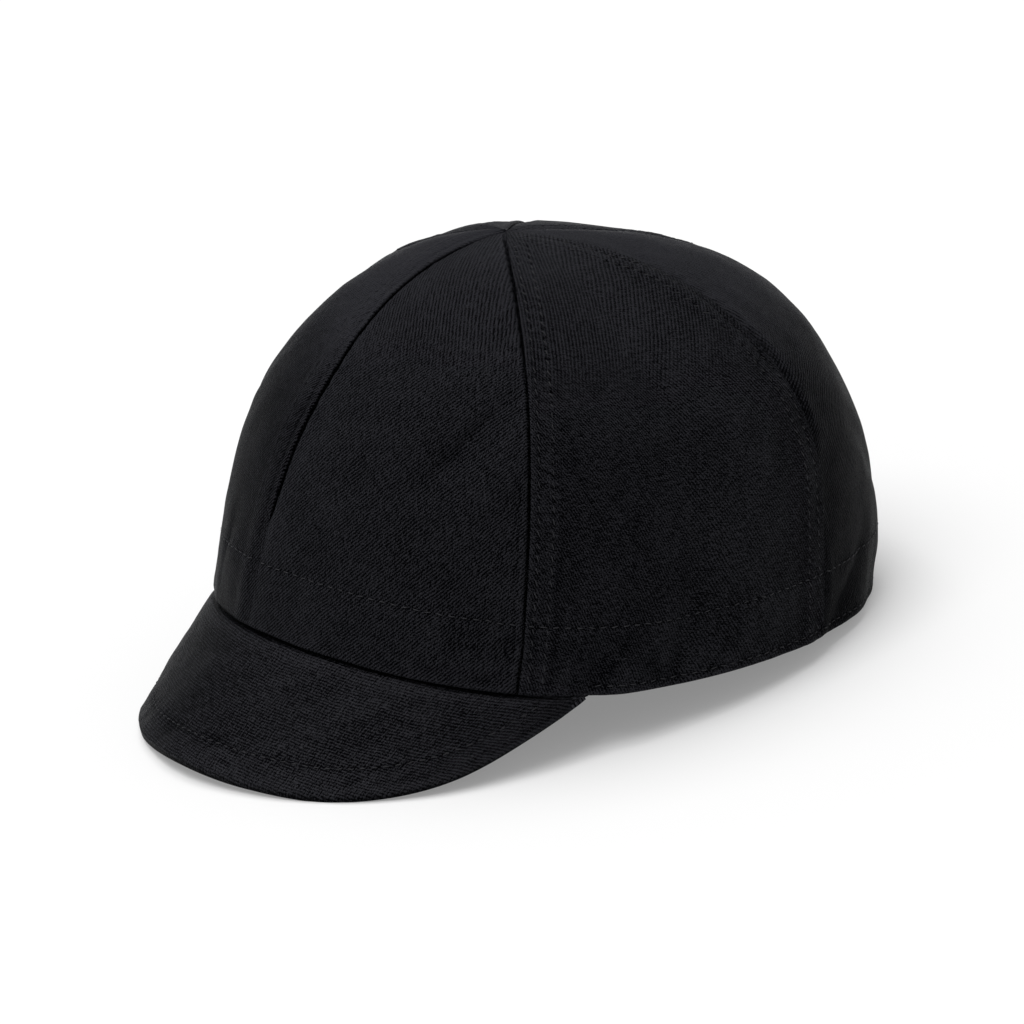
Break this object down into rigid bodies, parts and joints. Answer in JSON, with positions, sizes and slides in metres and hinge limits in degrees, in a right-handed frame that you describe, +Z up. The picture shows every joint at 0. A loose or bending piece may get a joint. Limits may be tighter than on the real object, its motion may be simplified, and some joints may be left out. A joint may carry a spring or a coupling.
{
  "type": "welding cap",
  "caption": "Soft panelled cloth cap with a short drooping brim, worn under a welding helmet to keep sparks off the head.",
  "frame": {"origin": "on the surface that the cap lies on, under the middle of its length and width", "axes": "+Z up from that surface, -Y the way the wearer looks and the brim points, +X the wearer's left"},
  "size_m": [0.1673, 0.234, 0.1271],
  "materials": {
    "crown_twill": "matt black cotton twill, about 1 mm between its ribs",
    "brim_twill": "matt black cotton twill over a soft core, topstitched along its edge",
    "band_twill": "matt black cotton facing"
  },
  "bodies": {
    "root": {"panel_front_left": "crown_twill", "panel_left": "crown_twill", "panel_back_left": "crown_twill", "panel_back_right": "crown_twill", "panel_right": "crown_twill", "panel_front_right": "crown_twill", "brim_upper_cover": "brim_twill", "brim_under_cover": "brim_twill", "inner_band": "band_twill"}
  },
  "joints": []
}
